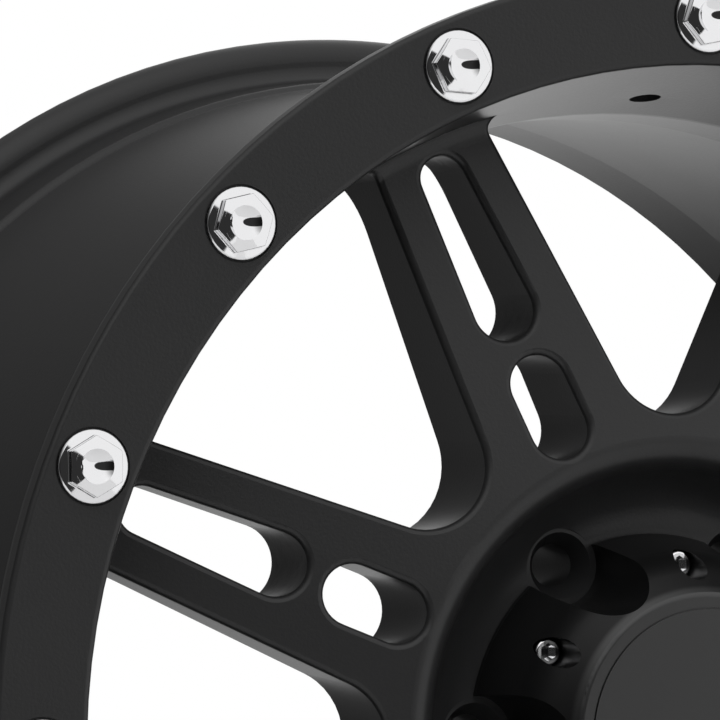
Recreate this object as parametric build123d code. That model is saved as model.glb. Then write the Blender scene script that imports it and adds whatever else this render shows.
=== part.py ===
from build123d import *
import os
from math import atan, cos, degrees, hypot, isclose, radians, sin, tan

# Cast alloy wheel, 20 by 12 inch class, six studs on a 139.7 mm circle.
# The axle lies along Y, the face looks to -Y and the origin is the centre of the rear mounting pad.
# Depths are measured back from the front face of the rim ring, in millimetres.

# Rim
RIM_WIDTH = 334.0
FLANGE_RADIUS = 271.5
RING_WIDTH = 33.5
RING_THICKNESS = 16.0
RING_EDGE = 1.8
RING_INNER_EDGE = 2.5
REAR_FLANGE_THICKNESS = 12.0
FLANGE_CREST = 9.5
REAR_FLANGE_EDGE = 2.0
FLANGE_HEIGHT = 17.5
BEAD_WIDTH = 27.0
BEAD_TAPER_ANGLE = 5.0
BEAD_FILLET = 6.5
HUMP_HEIGHT = 0.8
HUMP_WIDTH = 6.0
HUMP_ROUND = 2.5
DROP_WELL_HEIGHT = 21.5
DROP_FRONT_DEPTH = 75.0
DROP_LENGTH = 30.0
DROP_ROUND = 18.0
BARREL_REAR_STEP = 4.5
RIM_WALL = 7.5

# Spokes
SPOKE_COUNT = 8
SPOKE_PHASE = 112.5
SPOKE_ROOT_INSET = 8.0
SPOKE_ROOT_WIDTH = 48.6
SPOKE_ROOT_DEPTH = 48.0
SPOKE_HUB_RADIUS = 100.0
SPOKE_HUB_WIDTH = 61.6
SPOKE_HUB_DEPTH = 26.5
SPOKE_BACK_DEPTH = 76.0
SPOKE_ROOT_FILLET = 9.0
SPOKE_BACK_FILLET = 20.0
SPOKE_BACK_SINK = 1.0
SPOKE_EDGE = 2.3
SPOKE_DRAFT = 4.0
DRAFT_PLANE_DEPTH = 37.0
WINDOW_END_ROUND = 23.0
WINDOW_CORNER_ROUND = 4.0

# Slots in each spoke, given from the wheel axis along the spoke
LONG_SLOT_ROOT_GAP = 7.5
LONG_SLOT_INNER = 153.5
LONG_SLOT_OUTER_WIDTH = 15.6
LONG_SLOT_INNER_WIDTH = 22.6
SHORT_SLOT_OUTER = 146.0
SHORT_SLOT_INNER = 107.2
SHORT_SLOT_OUTER_WIDTH = 22.0
SHORT_SLOT_INNER_WIDTH = 22.6

# Hub
PAD_DEPTH = 98.0
PAD_RADIUS = 86.0
BORE_RADIUS = 53.0
WELL_RADIUS = 98.0
WELL_FLOOR_DEPTH = 54.0
WELL_FLOOR_RADIUS = 90.0
WELL_EDGE_ROUND = 10.0
WELL_FLOOR_ROUND = 22.0
HUB_BACK_ROUND = 4.0
LUG_COUNT = 6
LUG_CIRCLE_RADIUS = 139.7 / 2
LUG_HOLE_RADIUS = 7.75
LUG_SEAT_RADIUS = 12.0
LUG_SEAT_ANGLE = 60.0
LUG_SPOT_RADIUS = 13.5

# Valve hole, midway between two spokes
VALVE_HOLE_RADIUS = 5.75
VALVE_DEPTH = 50.7

# Chrome bolts round the ring
BOLT_COUNT = 16
BOLT_EDGE_DISTANCE = 16.8
BOLT_FLANGE_RADIUS = 12.8
BOLT_FLANGE_THICKNESS = 2.2
BOLT_FLANGE_ROUND = 0.8
BOLT_HEX_FLATS = 18.4
BOLT_HEX_HEIGHT = 3.8
BOLT_HEX_CORNER = 0.5
BOLT_HEX_EDGE = 0.35
BOLT_HEX_FOOT = 0.4
BOLT_TOP_RADIUS = 8.05
BOLT_TOP_SLOPE = 15.0
BOLT_DISH_RADIUS = 6.0
BOLT_DISH_DEPTH = 2.3
BOLT_SHANK_RADIUS = 4.0
BOLT_SHANK_LENGTH = 8.0
BOLT_FIRST_TURN = -4.0
BOLT_TURN_STEP = 17.0
SPOT_FACE_DEPTH = 1.2
SPOT_FACE_CLEARANCE = 0.7
THREAD_CLEARANCE = 0.15
HOLE_END_CLEARANCE = 1.0

# Centre cap
CAP_DISC_RADIUS = 50.2
CAP_DISC_DEPTH = 7.0
CAP_DISC_EDGE = 2.5
CAP_GROOVE_RADIUS = 45.5
CAP_GROOVE_WIDTH = 0.7
CAP_GROOVE_DEPTH = 0.8
CAP_SHOULDER_RADIUS = 63.5
CAP_SHOULDER_DEPTH = 21.0
CAP_SHOULDER_ROUND = 30.0
CAP_SKIRT_RADIUS = 71.5
CAP_FOOT_HEIGHT = 2.5
CAP_WALL = 3.5
LUG_POCKET_RADIUS = 14.5
LUG_POCKET_DRAFT = 4.0

# Cap screws
CAP_SCREW_CIRCLE_RADIUS = 60.5
CAP_SCREW_HEAD_RADIUS = 4.8
CAP_SCREW_HEAD_HEIGHT = 6.0
CAP_SCREW_SHANK_RADIUS = 3.0
CAP_SCREW_GRIP = 20.0
CAP_SCREW_REACH = 12.0
CAP_SCREW_SOCKET_FLATS = 5.6
CAP_SCREW_SOCKET_DEPTH = 3.0
CAP_SCREW_EDGE = 0.8
CAP_BORE_CLEARANCE = 0.6

FRONT = -PAD_DEPTH
REAR = FRONT + RIM_WIDTH
RING_INNER_RADIUS = FLANGE_RADIUS - RING_WIDTH
BEAD_RADIUS = FLANGE_RADIUS - FLANGE_HEIGHT
DROP_RADIUS = BEAD_RADIUS - DROP_WELL_HEIGHT
BARREL_REAR_RADIUS = BEAD_RADIUS - BARREL_REAR_STEP
BOLT_CIRCLE_RADIUS = FLANGE_RADIUS - BOLT_EDGE_DISTANCE
SPOKE_ROOT_RADIUS = RING_INNER_RADIUS - SPOKE_ROOT_INSET
LONG_SLOT_OUTER = SPOKE_ROOT_RADIUS - LONG_SLOT_ROOT_GAP
SPOKE_PITCH = 360 / SPOKE_COUNT
LUG_PITCH = 360 / LUG_COUNT
BEAD_DROP = BEAD_WIDTH * tan(radians(BEAD_TAPER_ANGLE))


def at_depth(depth):
    """Y coordinate of a depth behind the ring's front face."""
    return FRONT + depth


def turned(shape, angle):
    """The shape turned about the axle, anticlockwise as seen from the front."""
    return Rot(0, -angle, 0) * shape


def revolved(points, rounds):
    """Solid of revolution about the axle from (radius, y) corners with a round at each."""
    outline = FilletPolyline(*points, radius=rounds, close=True)
    return revolve(make_face(outline), Axis.Y)


def pin(radius, start, end):
    """Cylinder along the axle direction between two y values."""
    height = end - start
    return Pos(0, start + height / 2, 0) * Rot(90, 0, 0) * Cylinder(radius, height)


def off_axis(shape, radius):
    """The shape moved out from the axle along +X."""
    return Pos(radius, 0, 0) * shape


def ring_of(shape, radius, count, phase=0.0):
    """Copies of the shape round the axle."""
    return [turned(off_axis(shape, radius), phase + i * 360 / count) for i in range(count)]


def face_depth(radius):
    """Depth of the spokes' front face, a shallow cone from the rim to the edge of the hub well."""
    share = (SPOKE_ROOT_RADIUS - radius) / (SPOKE_ROOT_RADIUS - SPOKE_HUB_RADIUS)
    return SPOKE_ROOT_DEPTH + share * (SPOKE_HUB_DEPTH - SPOKE_ROOT_DEPTH)


def on_front(edge):
    """Whether an edge lies on the cone of the spokes' front face."""
    points = [edge.position_at(share) for share in (0, 0.5, 1)]
    return all(isclose(p.Y, at_depth(face_depth(hypot(p.X, p.Z))), abs_tol=0.02) for p in points)


def rim():
    """Rim as one revolved section: ring, bead seats, drop centre, tapered barrel and rear flange."""
    seat_front = FRONT + RING_THICKNESS
    seat_rear = REAR - REAR_FLANGE_THICKNESS
    seat_end_radius = BEAD_RADIUS - BEAD_DROP
    drop_front = at_depth(DROP_FRONT_DEPTH)
    drop_rear = drop_front + DROP_LENGTH
    throat = DROP_RADIUS - RIM_WALL
    front_hump = seat_front + BEAD_WIDTH
    rear_hump = seat_rear - BEAD_WIDTH
    section = [
        ((RING_INNER_RADIUS, FRONT), RING_INNER_EDGE),
        ((FLANGE_RADIUS, FRONT), RING_EDGE),
        ((FLANGE_RADIUS, seat_front), FLANGE_CREST),
        ((BEAD_RADIUS, seat_front), BEAD_FILLET),
        ((seat_end_radius, front_hump), 0),
        ((seat_end_radius + HUMP_HEIGHT, front_hump + HUMP_WIDTH / 2), HUMP_ROUND),
        ((seat_end_radius, front_hump + HUMP_WIDTH), HUMP_ROUND),
        ((DROP_RADIUS, drop_front), DROP_ROUND),
        ((DROP_RADIUS, drop_rear), DROP_ROUND),
        ((BARREL_REAR_RADIUS, rear_hump - HUMP_WIDTH), HUMP_ROUND),
        ((seat_end_radius + HUMP_HEIGHT, rear_hump - HUMP_WIDTH / 2), HUMP_ROUND),
        ((seat_end_radius, rear_hump), 0),
        ((BEAD_RADIUS, seat_rear), BEAD_FILLET),
        ((FLANGE_RADIUS, seat_rear), FLANGE_CREST),
        ((FLANGE_RADIUS, REAR), REAR_FLANGE_EDGE),
        ((seat_end_radius - RIM_WALL, REAR), RING_INNER_EDGE),
        ((BARREL_REAR_RADIUS - RIM_WALL, rear_hump - HUMP_WIDTH), DROP_ROUND),
        ((throat, drop_rear), DROP_ROUND),
        ((throat, drop_front), DROP_ROUND),
    ]
    return revolved([corner for corner, _ in section], [size for _, size in section])


def drafted(outline):
    """Cutter with the given outline in the draft plane, widening towards the back by the casting draft."""
    face = Plane.XZ.offset(-at_depth(DRAFT_PLANE_DEPTH)) * outline
    ahead = extrude(face, amount=DRAFT_PLANE_DEPTH, taper=SPOKE_DRAFT)
    behind = extrude(face, amount=DRAFT_PLANE_DEPTH - PAD_DEPTH, taper=-SPOKE_DRAFT)
    return ahead + behind


def window():
    """One opening between two spokes, drawn on its own centre line along +X, through the wheel face."""
    half_pitch = radians(SPOKE_PITCH / 2)
    splay = (SPOKE_HUB_WIDTH - SPOKE_ROOT_WIDTH) / 2 / (SPOKE_ROOT_RADIUS - SPOKE_HUB_RADIUS)
    half_width_at_axis = SPOKE_HUB_WIDTH / 2 + splay * SPOKE_HUB_RADIUS

    def edge_point(along):
        """Point on the spoke's edge at a distance along the spoke, seen from the window's centre line."""
        across = half_width_at_axis - splay * along
        x = along * cos(half_pitch) + across * sin(half_pitch)
        y = along * sin(half_pitch) - across * cos(half_pitch)
        return (x, y)

    apex_along = half_width_at_axis / (tan(half_pitch) + splay)
    apex = (apex_along / cos(half_pitch), 0)
    far = edge_point(FLANGE_RADIUS)
    wedge = make_face(Polyline(apex, far, (far[0], -far[1]), close=True))
    opening = wedge & Circle(wall_radius(SPOKE_ROOT_DEPTH))
    corners = opening.vertices().sort_by(Axis.X)
    opening = fillet(corners[0], WINDOW_END_ROUND)
    opening = fillet(opening.vertices().sort_by(Axis.X)[-2:], WINDOW_CORNER_ROUND)
    return drafted(opening)


def wall_radius(depth):
    """Radius of the rim's inner wall at a depth between the ring and the throat."""
    throat = DROP_RADIUS - RIM_WALL
    return RING_INNER_RADIUS - (RING_INNER_RADIUS - throat) * depth / DROP_FRONT_DEPTH


def slot(inner, outer, inner_width, outer_width):
    """A round-ended tapered slot through a spoke that lies along +X."""
    inner_end = Pos(inner + inner_width / 2, 0) * Circle(inner_width / 2)
    outer_end = Pos(outer - outer_width / 2, 0) * Circle(outer_width / 2)
    return drafted(make_hull((inner_end + outer_end).edges()))


def wheel_face():
    """Spokes and hub: a revolved disc opened by the windows and slots, with soft front edges."""
    wall = wall_radius(SPOKE_ROOT_DEPTH)
    root_radius = wall + RIM_WALL / 2
    throat = DROP_RADIUS - RIM_WALL
    back = at_depth(SPOKE_BACK_DEPTH)
    back_end = back + SPOKE_BACK_FILLET + SPOKE_BACK_SINK
    section = [
        ((root_radius, at_depth(SPOKE_ROOT_DEPTH - SPOKE_ROOT_FILLET)), 0),
        ((wall, at_depth(face_depth(wall))), SPOKE_ROOT_FILLET),
        ((WELL_RADIUS, at_depth(face_depth(WELL_RADIUS))), WELL_EDGE_ROUND),
        ((WELL_FLOOR_RADIUS, at_depth(WELL_FLOOR_DEPTH)), WELL_FLOOR_ROUND),
        ((BORE_RADIUS, at_depth(WELL_FLOOR_DEPTH)), 0),
        ((BORE_RADIUS, 0), 0),
        ((PAD_RADIUS, 0), 0),
        ((SPOKE_HUB_RADIUS, back), HUB_BACK_ROUND),
        ((throat + SPOKE_BACK_SINK, back), SPOKE_BACK_FILLET),
        ((throat + SPOKE_BACK_SINK, back_end), 0),
        ((throat + RIM_WALL / 2, back_end), 0),
    ]
    disc = revolved([corner for corner, _ in section], [size for _, size in section])
    long_slot = slot(LONG_SLOT_INNER, LONG_SLOT_OUTER, LONG_SLOT_INNER_WIDTH, LONG_SLOT_OUTER_WIDTH)
    short_slot = slot(SHORT_SLOT_INNER, SHORT_SLOT_OUTER, SHORT_SLOT_INNER_WIDTH, SHORT_SLOT_OUTER_WIDTH)
    for i in range(SPOKE_COUNT):
        angle = SPOKE_PHASE + i * SPOKE_PITCH
        disc = disc - turned(window(), angle + SPOKE_PITCH / 2)
        disc = disc - turned(long_slot, angle) - turned(short_slot, angle)
    smooth = (GeomType.CIRCLE, GeomType.LINE)
    cut_edges = disc.edges().filter_by(lambda edge: edge.geom_type not in smooth and on_front(edge))
    return fillet(cut_edges, SPOKE_EDGE)


def lug_hole():
    """Stud hole with a conical nut seat in a round spot-face, on the wheel axis."""
    seat = at_depth(WELL_FLOOR_DEPTH)
    seat_depth = (LUG_SEAT_RADIUS - LUG_HOLE_RADIUS) / tan(radians(LUG_SEAT_ANGLE / 2))
    corners = [(0, seat), (LUG_SEAT_RADIUS, seat), (LUG_HOLE_RADIUS, seat + seat_depth),
               (LUG_HOLE_RADIUS, 0), (0, 0)]
    drill = revolve(make_face(Polyline(*corners, close=True)), Axis.Y)
    return drill + pin(LUG_SPOT_RADIUS, at_depth(SPOKE_HUB_DEPTH), seat)


def valve_hole():
    """Hole for the tyre valve, square to the rim's front wall, midway between two spokes at the top."""
    wall_slope = (wall_radius(0) - wall_radius(VALVE_DEPTH)) / VALVE_DEPTH
    length = 2 * (FLANGE_RADIUS - DROP_RADIUS)
    drill = Rot(-degrees(atan(wall_slope)), 0, 0) * Cylinder(VALVE_HOLE_RADIUS, length)
    return Pos(0, at_depth(VALVE_DEPTH), wall_radius(VALVE_DEPTH)) * drill


def bolt_seat():
    """Spot-face and blind hole for one ring bolt, on the wheel axis."""
    floor = FRONT + SPOT_FACE_DEPTH
    hole_end = floor + BOLT_SHANK_LENGTH + HOLE_END_CLEARANCE
    recess = pin(BOLT_FLANGE_RADIUS + SPOT_FACE_CLEARANCE, FRONT - SPOT_FACE_DEPTH, floor)
    return recess + pin(BOLT_SHANK_RADIUS + THREAD_CLEARANCE, FRONT, hole_end)


def cap_screw_hole():
    """Blind hole in the hub for one cap screw, on the wheel axis."""
    start = at_depth(WELL_FLOOR_DEPTH)
    return pin(CAP_SCREW_SHANK_RADIUS + THREAD_CLEARANCE, start, start + CAP_SCREW_REACH + HOLE_END_CLEARANCE)


def wheel():
    """The whole casting with its drilled holes."""
    casting = rim() + wheel_face()
    holes = [valve_hole()]
    holes += ring_of(bolt_seat(), BOLT_CIRCLE_RADIUS, BOLT_COUNT, SPOKE_PHASE)
    holes += ring_of(lug_hole(), LUG_CIRCLE_RADIUS, LUG_COUNT)
    holes += ring_of(cap_screw_hole(), CAP_SCREW_CIRCLE_RADIUS, LUG_COUNT, LUG_PITCH / 2)
    return casting - holes


def rim_bolt():
    """Flanged hexagon bolt with a sloped crown and a dished centre, on the wheel axis."""
    seat = FRONT + SPOT_FACE_DEPTH
    flange_top = seat - BOLT_FLANGE_THICKNESS
    head_top = flange_top - BOLT_HEX_HEIGHT
    corner = BOLT_HEX_FLATS / 2 / cos(radians(30))
    slope_drop = (corner - BOLT_TOP_RADIUS) * tan(radians(BOLT_TOP_SLOPE))
    flange = revolved(
        [(0, seat), (BOLT_FLANGE_RADIUS, seat), (BOLT_FLANGE_RADIUS, flange_top), (0, flange_top)],
        [0, 0, BOLT_FLANGE_ROUND, 0])
    outline = fillet(RegularPolygon(corner, 6).vertices(), BOLT_HEX_CORNER)
    hexagon = extrude(Plane.XZ.offset(-flange_top) * outline, amount=BOLT_HEX_HEIGHT)
    crown = revolve(make_face(Polyline(
        (0, flange_top), (corner, flange_top), (corner, head_top + slope_drop),
        (BOLT_TOP_RADIUS, head_top), (0, head_top), close=True)), Axis.Y)
    head = hexagon & crown
    head_edges = head.edges().filter_by(lambda edge: edge.geom_type in (GeomType.HYPERBOLA, GeomType.BSPLINE))
    body = flange + fillet(head_edges, BOLT_HEX_EDGE)
    foot = body.edges().filter_by_position(Axis.Y, flange_top, flange_top)
    body = fillet(foot.filter_by(lambda edge: edge.length < BOLT_HEX_FLATS), BOLT_HEX_FOOT)
    dish_radius = (BOLT_DISH_RADIUS ** 2 + BOLT_DISH_DEPTH ** 2) / (2 * BOLT_DISH_DEPTH)
    dish = Pos(0, head_top + BOLT_DISH_DEPTH - dish_radius, 0) * Sphere(dish_radius)
    return body - dish + pin(BOLT_SHANK_RADIUS, seat, seat + BOLT_SHANK_LENGTH)


def rim_bolts():
    """All ring bolts, each stopped at its own turn."""
    bolt = rim_bolt()
    bolts = []
    for i in range(BOLT_COUNT):
        place = SPOKE_PHASE + i * 360 / BOLT_COUNT
        set_turn = turned(bolt, BOLT_FIRST_TURN + i * BOLT_TURN_STEP - place)
        bolts.append(turned(off_axis(set_turn, BOLT_CIRCLE_RADIUS), place))
    return Compound(children=bolts)


def cap_form(inset):
    """Outer form of the cap, or its hollow when inset by the wall: flat disc, round shoulder and steep skirt."""
    foot = at_depth(WELL_FLOOR_DEPTH)
    top = at_depth(CAP_DISC_DEPTH) + inset
    shoulder = at_depth(CAP_SHOULDER_DEPTH) + inset
    corners = [(0, foot), (CAP_SKIRT_RADIUS - inset, foot), (CAP_SKIRT_RADIUS - inset, foot - CAP_FOOT_HEIGHT),
               (CAP_SHOULDER_RADIUS - inset, shoulder), (CAP_DISC_RADIUS - inset, top), (0, top)]
    rounds = [0, 0, 0, CAP_SHOULDER_ROUND - inset, CAP_DISC_EDGE, 0]
    return revolved(corners, rounds)


def lug_pocket(inset):
    """Tapered clearance round one lug seat, on the wheel axis, open towards the front."""
    foot = at_depth(WELL_FLOOR_DEPTH)
    mouth = at_depth(CAP_DISC_DEPTH)
    flare = (foot - mouth) * tan(radians(LUG_POCKET_DRAFT))
    radius = LUG_POCKET_RADIUS + inset
    return revolve(make_face(Polyline(
        (0, foot), (radius, foot), (radius + flare, mouth), (0, mouth), close=True)), Axis.Y)


def center_cap():
    """Moulded cap: a shell cut away round the lug holes, with a counterbored boss for each screw."""
    foot = at_depth(WELL_FLOOR_DEPTH)
    ledge = foot - CAP_SCREW_GRIP
    counterbore_radius = CAP_SCREW_HEAD_RADIUS + CAP_BORE_CLEARANCE
    disc_face = at_depth(CAP_DISC_DEPTH)
    groove_outer = pin(CAP_GROOVE_RADIUS, disc_face, disc_face + CAP_GROOVE_DEPTH)
    groove = groove_outer - pin(CAP_GROOVE_RADIUS - CAP_GROOVE_WIDTH, disc_face, disc_face + CAP_GROOVE_DEPTH)
    boss = pin(counterbore_radius + CAP_WALL, FRONT, foot)
    counterbore = pin(counterbore_radius, FRONT, ledge)
    clearance_hole = pin(CAP_SCREW_SHANK_RADIUS + CAP_BORE_CLEARANCE, ledge, foot)
    solid = cap_form(0) - ring_of(lug_pocket(0), LUG_CIRCLE_RADIUS, LUG_COUNT)
    hollow = cap_form(CAP_WALL) - ring_of(lug_pocket(CAP_WALL), LUG_CIRCLE_RADIUS, LUG_COUNT)
    hollow = hollow - ring_of(boss, CAP_SCREW_CIRCLE_RADIUS, LUG_COUNT, LUG_PITCH / 2)
    cuts = ring_of(counterbore + clearance_hole, CAP_SCREW_CIRCLE_RADIUS, LUG_COUNT, LUG_PITCH / 2)
    return solid - hollow - groove - cuts


def cap_screw():
    """Socket-head screw, on the wheel axis."""
    foot = at_depth(WELL_FLOOR_DEPTH)
    ledge = foot - CAP_SCREW_GRIP
    head_top = ledge - CAP_SCREW_HEAD_HEIGHT
    head = revolved(
        [(0, ledge), (CAP_SCREW_HEAD_RADIUS, ledge), (CAP_SCREW_HEAD_RADIUS, head_top), (0, head_top)],
        [0, 0, CAP_SCREW_EDGE, 0])
    socket_corner = CAP_SCREW_SOCKET_FLATS / 2 / cos(radians(30))
    socket = extrude(Plane.XZ.offset(-head_top) * RegularPolygon(socket_corner, 6), amount=-CAP_SCREW_SOCKET_DEPTH)
    return head - socket + pin(CAP_SCREW_SHANK_RADIUS, ledge, foot + CAP_SCREW_REACH)


def cap_screws():
    """All cap screws."""
    return Compound(children=ring_of(cap_screw(), CAP_SCREW_CIRCLE_RADIUS, LUG_COUNT, LUG_PITCH / 2))


os.makedirs("parts", exist_ok=True)
for name, piece in (("wheel", wheel()), ("rim_bolts", rim_bolts()), ("center_cap", center_cap()),
                    ("cap_screws", cap_screws())):
    export_step(piece, f"parts/{name}.step")
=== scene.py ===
import math

import bpy
from mathutils import Matrix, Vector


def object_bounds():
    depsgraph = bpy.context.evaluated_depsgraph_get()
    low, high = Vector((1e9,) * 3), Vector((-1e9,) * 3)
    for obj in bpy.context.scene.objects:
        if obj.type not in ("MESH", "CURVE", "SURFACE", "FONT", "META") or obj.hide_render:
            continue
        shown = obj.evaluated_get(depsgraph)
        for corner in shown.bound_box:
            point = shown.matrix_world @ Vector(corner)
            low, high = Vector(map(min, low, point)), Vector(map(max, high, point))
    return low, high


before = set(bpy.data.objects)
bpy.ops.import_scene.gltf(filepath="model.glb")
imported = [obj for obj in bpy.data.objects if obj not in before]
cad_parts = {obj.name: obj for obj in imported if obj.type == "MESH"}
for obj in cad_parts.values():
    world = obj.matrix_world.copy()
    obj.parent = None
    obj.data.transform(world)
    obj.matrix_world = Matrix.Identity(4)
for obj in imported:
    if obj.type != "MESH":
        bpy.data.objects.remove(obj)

# The wheel: one aluminium casting of rim, spokes and hub, powder coated satin black after machining.
# It bolts to the axle hub by six studs through the floor of the well.


class Value:
    """A shader socket that takes part in Python expressions, each of which adds a Math node."""

    def __init__(self, tree, socket):
        self.tree = tree
        self.socket = socket

    def node(self, kind, output=0, settings=None, **inputs):
        """Adds a node, sets its settings, then its sockets, and returns one of its outputs."""
        made = self.tree.nodes.new(kind)
        for name, setting in (settings or {}).items():
            setattr(made, name, setting)
        for name, given in inputs.items():
            key = int(name[1:]) if name[1:].isdigit() else name.replace("_", " ")
            if isinstance(given, Value):
                self.tree.links.new(given.socket, made.inputs[key])
            else:
                made.inputs[key].default_value = given
        return Value(self.tree, made.outputs[output])

    def maths(self, operation, first, second=0.0):
        return self.node("ShaderNodeMath", settings={"operation": operation}, _0=first, _1=second)

    def __add__(self, other):
        return self.maths("ADD", self, other)

    def __radd__(self, other):
        return self.maths("ADD", other, self)

    def __sub__(self, other):
        return self.maths("SUBTRACT", self, other)

    def __rsub__(self, other):
        return self.maths("SUBTRACT", other, self)

    def __mul__(self, other):
        return self.maths("MULTIPLY", self, other)

    def __rmul__(self, other):
        return self.maths("MULTIPLY", other, self)

    def smooth_step(self, low, high):
        """0 below low, 1 above high and a soft step between."""
        return self.node("ShaderNodeMapRange", settings={"interpolation_type": "SMOOTHSTEP"},
                         _0=self, _1=low, _2=high)


def finish_material(name):
    """A new material with its surface shader, and a starting point for its other nodes."""
    material = bpy.data.materials.new(name)
    material.use_nodes = True
    surface = material.node_tree.nodes["Principled BSDF"]
    start = Value(material.node_tree, surface.outputs[0])
    return material, surface, start


def dress(node, material):
    """Gives a CAD node its material."""
    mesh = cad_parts[node].data
    mesh.materials.clear()
    mesh.materials.append(material)


COAT_COLOUR = (0.017, 0.017, 0.0173, 1)
COAT_FADED = (0.02, 0.02, 0.0203, 1)
coat, surface, start = finish_material("satin_black_coat")
place = start.node("ShaderNodeTexCoord", output="Object")
cloud = start.node("ShaderNodeTexNoise", output="Fac", Vector=place, Scale=9.0, Detail=3.0)
grain = start.node("ShaderNodeTexNoise", output="Fac", Vector=place, Scale=900.0, Detail=2.0)
colour = start.node("ShaderNodeMix", output=2, settings={"data_type": "RGBA"}, _0=cloud,
                    _6=COAT_COLOUR, _7=COAT_FADED)
rough = 0.29 + 0.04 * cloud + 0.04 * grain
skin = start.node("ShaderNodeBump", Height=grain, Strength=0.12, Distance=0.0004)
coat.node_tree.links.new(colour.socket, surface.inputs["Base Color"])
coat.node_tree.links.new(rough.socket, surface.inputs["Roughness"])
coat.node_tree.links.new(skin.socket, surface.inputs["Normal"])
surface.inputs["Specular IOR Level"].default_value = 0.32
dress("wheel", coat)

# The sixteen ring bolts: chrome plated steel with a flanged hexagon head and a dished centre.
# Each is turned into a blind hole in the ring and sits in a shallow spot-face. The flange and the
# rim of the dish are flat in the solid, and a bump shades them as shallow cones.
BOLT_PITCH = math.radians(22.5)
BOLT_CIRCLE, FLANGE_TOP = 0.2547, -0.099
DISH_EDGE, CROWN_EDGE = 0.006, 0.00805
CROWN_SLOPE, FLANGE_SLOPE = 0.26, 0.22
FLANGE_FADE = 0.0003
chrome, surface, start = finish_material("bright_chrome")
surface.inputs["Base Color"].default_value = (0.82, 0.82, 0.83, 1)
surface.inputs["Metallic"].default_value = 1.0
place = start.node("ShaderNodeTexCoord", output="Object")
haze = start.node("ShaderNodeTexNoise", output="Fac", Vector=place, Scale=160.0, Detail=2.0)
rough = 0.03 + 0.05 * haze
chrome.node_tree.links.new(rough.socket, surface.inputs["Roughness"])
east = start.node("ShaderNodeSeparateXYZ", output="X", Vector=place)
depth = start.node("ShaderNodeSeparateXYZ", output="Y", Vector=place)
north = start.node("ShaderNodeSeparateXYZ", output="Z", Vector=place)
angle = start.maths("ARCTAN2", north, east)
off_bolt = angle - BOLT_PITCH * start.maths("ROUND", angle * (1 / BOLT_PITCH))
from_axis = start.maths("SQRT", east * east + north * north)
outward = from_axis * start.maths("COSINE", off_bolt) - BOLT_CIRCLE
around = from_axis * start.maths("SINE", off_bolt)
from_bolt = start.maths("SQRT", outward * outward + around * around)
on_flange = depth.smooth_step(FLANGE_TOP - 2 * FLANGE_FADE, FLANGE_TOP - FLANGE_FADE)
crown = start.maths("MINIMUM", start.maths("MAXIMUM", from_bolt, DISH_EDGE), CROWN_EDGE)
form = -CROWN_SLOPE * crown - FLANGE_SLOPE * from_bolt * on_flange
cone = start.node("ShaderNodeBump", Height=form, Strength=1.0, Distance=1.0)
chrome.node_tree.links.new(cone.socket, surface.inputs["Normal"])
dress("rim_bolts", chrome)

# The centre cap: a moulded shell painted matt black, cut away round the stud holes.
# Its raised disc is bare under a satin lacquer, and six screws hold it to the hub.
CAP_COLOUR = (0.004, 0.004, 0.0041, 1)
CAP_FADED = (0.0055, 0.0055, 0.0056, 1)
DISC_FOOT, LACQUER_FADE = -0.0885, 0.001
paint, surface, start = finish_material("black_cap_plastic")
place = start.node("ShaderNodeTexCoord", output="Object")
cloud = start.node("ShaderNodeTexNoise", output="Fac", Vector=place, Scale=25.0, Detail=3.0)
peel = start.node("ShaderNodeTexNoise", output="Fac", Vector=place, Scale=500.0, Detail=1.0)
colour = start.node("ShaderNodeMix", output=2, settings={"data_type": "RGBA"}, _0=cloud,
                    _6=CAP_COLOUR, _7=CAP_FADED)
rough = 0.3 + 0.05 * cloud
skin = start.node("ShaderNodeBump", Height=peel, Strength=0.03, Distance=0.0003)
paint.node_tree.links.new(colour.socket, surface.inputs["Base Color"])
paint.node_tree.links.new(rough.socket, surface.inputs["Roughness"])
depth = start.node("ShaderNodeSeparateXYZ", output="Y", Vector=place)
lacquer = 1 - depth.smooth_step(DISC_FOOT - LACQUER_FADE, DISC_FOOT + LACQUER_FADE)
paint.node_tree.links.new(skin.socket, surface.inputs["Normal"])
paint.node_tree.links.new(lacquer.socket, surface.inputs["Coat Weight"])
surface.inputs["Coat Roughness"].default_value = 0.3
surface.inputs["Specular IOR Level"].default_value = 0.25
dress("center_cap", paint)

# The six cap screws: bright plated socket-head screws that go through the cap into the hub.
# Each head lies at the bottom of a counterbore in the cap's skirt.
steel, surface, start = finish_material("bright_screw")
surface.inputs["Base Color"].default_value = (0.9, 0.9, 0.91, 1)
surface.inputs["Metallic"].default_value = 1.0
place = start.node("ShaderNodeTexCoord", output="Object")
haze = start.node("ShaderNodeTexNoise", output="Fac", Vector=place, Scale=400.0, Detail=2.0)
rough = 0.07 + 0.06 * haze
steel.node_tree.links.new(rough.socket, surface.inputs["Roughness"])
dress("cap_screws", steel)

low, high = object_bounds()

# The studio: a round pale floor under the wheel, white walls and a soft key light from the upper left.
# Metal sees the white walls, with the dim left side, the dim back left and the unlit patch round
# the camera. The camera itself sees plain white all round.
FLOOR_COLOUR = (0.86, 0.86, 0.86, 1)
FLOOR_RADIUS = 0.8
FLOOR_CENTRE = -0.45
bpy.ops.mesh.primitive_circle_add(vertices=128, radius=FLOOR_RADIUS, fill_type="NGON",
                                  location=(0, FLOOR_CENTRE, low[2]))
floor = bpy.context.object
floor.name = "floor"
pale, surface, start = finish_material("pale_floor")
surface.inputs["Base Color"].default_value = FLOOR_COLOUR
surface.inputs["Roughness"].default_value = 0.8
surface.inputs["Specular IOR Level"].default_value = 0.1
floor.data.materials.append(pale)

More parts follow.
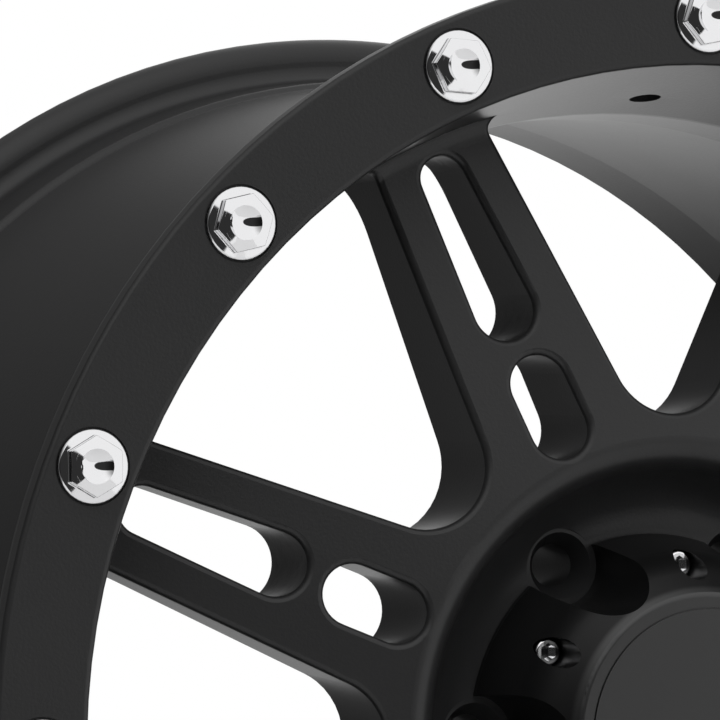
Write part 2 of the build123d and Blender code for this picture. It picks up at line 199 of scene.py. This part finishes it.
PATCH_BEARING, PATCH_WIDTH = math.radians(-24), math.radians(50.5)
PATCH_RISE, PATCH_HEIGHT = math.radians(-2), math.radians(20)
PATCH_DARKNESS = 0.97
BACK_LEFT_LIGHT, BACK_RIGHT_LIGHT = 0.14, 1.0
LEFT_LIGHT = 0.15
ROOF_LIGHT = 0.4
KEY_BEARING, KEY_WIDTH = math.radians(-30), math.radians(34)
KEY_RISE, KEY_HEIGHT = math.radians(50), math.radians(24)
FILL_LIGHT, KEY_LIGHT = 0.85, 3.6
world = bpy.data.worlds.new("studio")
bpy.context.scene.world = world
world.use_nodes = True
background = world.node_tree.nodes["Background"]
start = Value(world.node_tree, background.outputs[0])
direction = start.node("ShaderNodeTexCoord", output="Generated")
sideways = start.node("ShaderNodeSeparateXYZ", output="X", Vector=direction)
backwards = start.node("ShaderNodeSeparateXYZ", output="Y", Vector=direction)
upwards = start.node("ShaderNodeSeparateXYZ", output="Z", Vector=direction)
bearing = start.maths("ARCTAN2", sideways, -1 * backwards)
rise = start.maths("ARCSINE", upwards)
across = (bearing - PATCH_BEARING) * (1 / PATCH_WIDTH)
along = (rise - PATCH_RISE) * (1 / PATCH_HEIGHT)
unlit = 1 - (across * across + along * along).smooth_step(0.93, 1.07)
front = 1 - backwards.smooth_step(-0.25, 0.35)
back = BACK_LEFT_LIGHT + (BACK_RIGHT_LIGHT - BACK_LEFT_LIGHT) * sideways.smooth_step(0.05, 0.45)
left = LEFT_LIGHT + (1 - LEFT_LIGHT) * sideways.smooth_step(-0.9, -0.25)
walls = left * (back + (1 - back) * front) * (1 - PATCH_DARKNESS * unlit)
roof = ROOF_LIGHT * upwards.smooth_step(0.55, 0.85)
key_across = (bearing - KEY_BEARING) * (1 / KEY_WIDTH)
key_along = (rise - KEY_RISE) * (1 / KEY_HEIGHT)
key = 1 - (key_across * key_across + key_along * key_along).smooth_step(0.5, 1.2)
studio = walls + (1 - walls) * roof
camera_ray = start.node("ShaderNodeLightPath", output="Is Camera Ray")
glossy_ray = start.node("ShaderNodeLightPath", output="Is Glossy Ray")
glass_ray = start.node("ShaderNodeLightPath", output="Is Transmission Ray")
seen = start.maths("MAXIMUM", camera_ray, glass_ray)
light = glossy_ray * studio + (1 - glossy_ray) * (FILL_LIGHT * studio + KEY_LIGHT * key)
brightness = seen + (1 - seen) * light
world.node_tree.links.new(brightness.socket, background.inputs["Strength"])
background.inputs["Color"].default_value = (1, 1, 1, 1)

# The camera: a long lens from the left of the axle, a little above it and looking slightly up,
# so that the upper left quarter of the wheel fills the picture.
CAMERA_PLACE = (-0.9497, -1.9508, 0.0881)
CAMERA_YAW = math.radians(23.703)
CAMERA_RISE = math.radians(1.2794)
CAMERA_ROLL = math.radians(-0.6753)
camera_data = bpy.data.cameras.new("camera")
camera_data.lens = 293.54
camera_data.sensor_width = 36.0
camera = bpy.data.objects.new("camera", camera_data)
camera.matrix_world = (Matrix.Translation(CAMERA_PLACE) @ Matrix.Rotation(-CAMERA_YAW, 4, "Z")
                       @ Matrix.Rotation(math.radians(90) + CAMERA_RISE, 4, "X")
                       @ Matrix.Rotation(CAMERA_ROLL, 4, "Z"))
bpy.context.collection.objects.link(camera)
bpy.context.scene.camera = camera
bpy.context.scene.view_settings.view_transform = "Standard"
